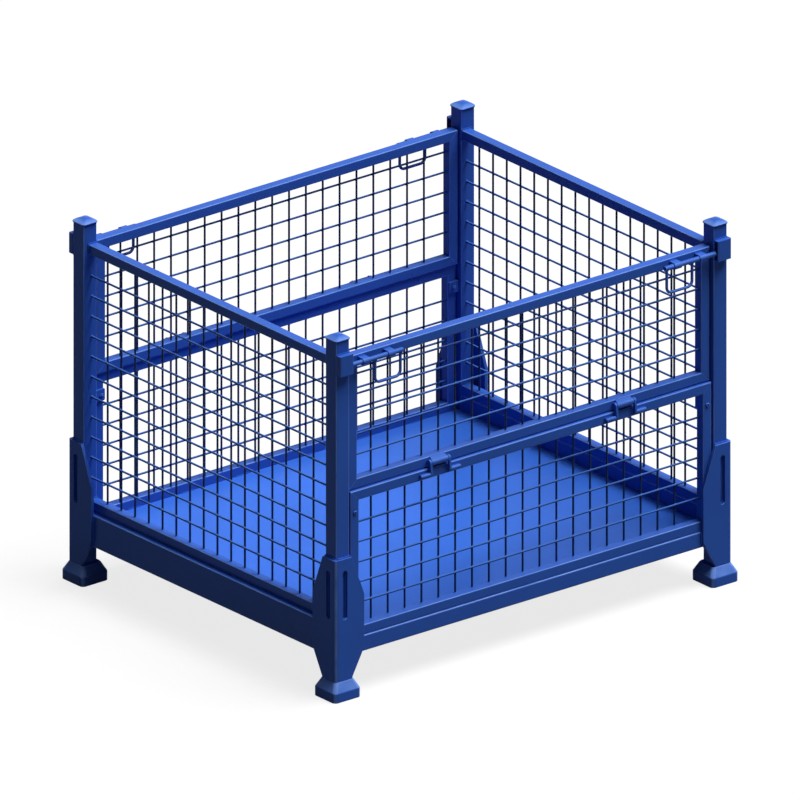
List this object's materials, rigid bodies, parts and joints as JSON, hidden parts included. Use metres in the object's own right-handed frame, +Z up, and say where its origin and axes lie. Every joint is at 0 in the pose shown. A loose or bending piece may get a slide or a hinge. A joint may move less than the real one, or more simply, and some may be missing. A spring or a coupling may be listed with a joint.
{
  "type": "stackable wire mesh container",
  "caption": "Stackable steel mesh container on cup feet, with a half-drop gate in each long side held shut by sliding latch bolts.",
  "frame": {"origin": "on the floor, under the middle of the container", "axes": "+X along the long side, +Y towards the back gate, +Z up; the gates face -Y and +Y"},
  "size_m": [1.2, 1, 0.898],
  "materials": {
    "frame_paint": "gloss",
    "wire_paint": "gloss",
    "hardware_paint": "gloss"
  },
  "bodies": {
    "frame": {"post_front_left": "frame_paint", "post_front_right": "frame_paint", "post_back_left": "frame_paint", "post_back_right": "frame_paint", "cap_front_left": "frame_paint", "cap_front_right": "frame_paint", "cap_back_left": "frame_paint", "cap_back_right": "frame_paint", "foot_front_left": "frame_paint", "foot_front_right": "frame_paint", "foot_back_left": "frame_paint", "foot_back_right": "frame_paint", "gusset_front_left": "frame_paint", "gusset_front_right": "frame_paint", "gusset_back_left": "frame_paint", "gusset_back_right": "frame_paint", "front_beam": "frame_paint", "back_beam": "frame_paint", "left_beam": "frame_paint", "right_beam": "frame_paint", "front_bearer": "frame_paint", "back_bearer": "frame_paint", "floor_sheet": "frame_paint", "left_top_rail": "frame_paint", "left_bottom_rail": "frame_paint", "left_mesh": "wire_paint", "right_top_rail": "frame_paint", "right_bottom_rail": "frame_paint", "right_mesh": "wire_paint", "front_panel_top_rail": "frame_paint", "front_panel_bottom_rail": "frame_paint", "front_panel_stiles": "frame_paint", "front_panel_mesh": "wire_paint", "back_panel_top_rail": "frame_paint", "back_panel_bottom_rail": "frame_paint", "back_panel_stiles": "frame_paint", "back_panel_mesh": "wire_paint", "hinge_lugs": "hardware_paint", "hinge_pins": "hardware_paint", "latch_keepers": "hardware_paint", "panel_tabs": "hardware_paint", "panel_bolts": "hardware_paint"},
    "front_gate": {"front_gate_top_rail": "frame_paint", "front_gate_bottom_rail": "frame_paint", "front_gate_stiles": "frame_paint", "front_gate_mesh": "wire_paint", "front_gate_hinge_straps": "hardware_paint", "front_gate_bolt_guides": "hardware_paint"},
    "back_gate": {"back_gate_top_rail": "frame_paint", "back_gate_bottom_rail": "frame_paint", "back_gate_stiles": "frame_paint", "back_gate_mesh": "wire_paint", "back_gate_hinge_straps": "hardware_paint", "back_gate_bolt_guides": "hardware_paint"},
    "latch_front_left": {"latch_front_left": "hardware_paint"},
    "latch_front_right": {"latch_front_right": "hardware_paint"},
    "latch_back_left": {"latch_back_left": "hardware_paint"},
    "latch_back_right": {"latch_back_right": "hardware_paint"}
  },
  "joints": [
    {"name": "front_gate_hinge", "type": "hinge", "parent": "frame", "child": "front_gate", "pos_m": [0, -0.4845, 0.4905], "axis": [1, 0, 0], "range_deg": [0, 175]},
    {"name": "back_gate_hinge", "type": "hinge", "parent": "frame", "child": "back_gate", "pos_m": [0, 0.4845, 0.4905], "axis": [-1, 0, 0], "range_deg": [0, 175]},
    {"name": "latch_front_left_slide", "type": "slide", "parent": "front_gate", "child": "latch_front_left", "axis": [-1, 0, 0], "range_m": [0, 0.015]},
    {"name": "latch_front_right_slide", "type": "slide", "parent": "front_gate", "child": "latch_front_right", "axis": [1, 0, 0], "range_m": [0, 0.015]},
    {"name": "latch_back_left_slide", "type": "slide", "parent": "back_gate", "child": "latch_back_left", "axis": [-1, 0, 0], "range_m": [0, 0.015]},
    {"name": "latch_back_right_slide", "type": "slide", "parent": "back_gate", "child": "latch_back_right", "axis": [1, 0, 0], "range_m": [0, 0.015]}
  ]
}
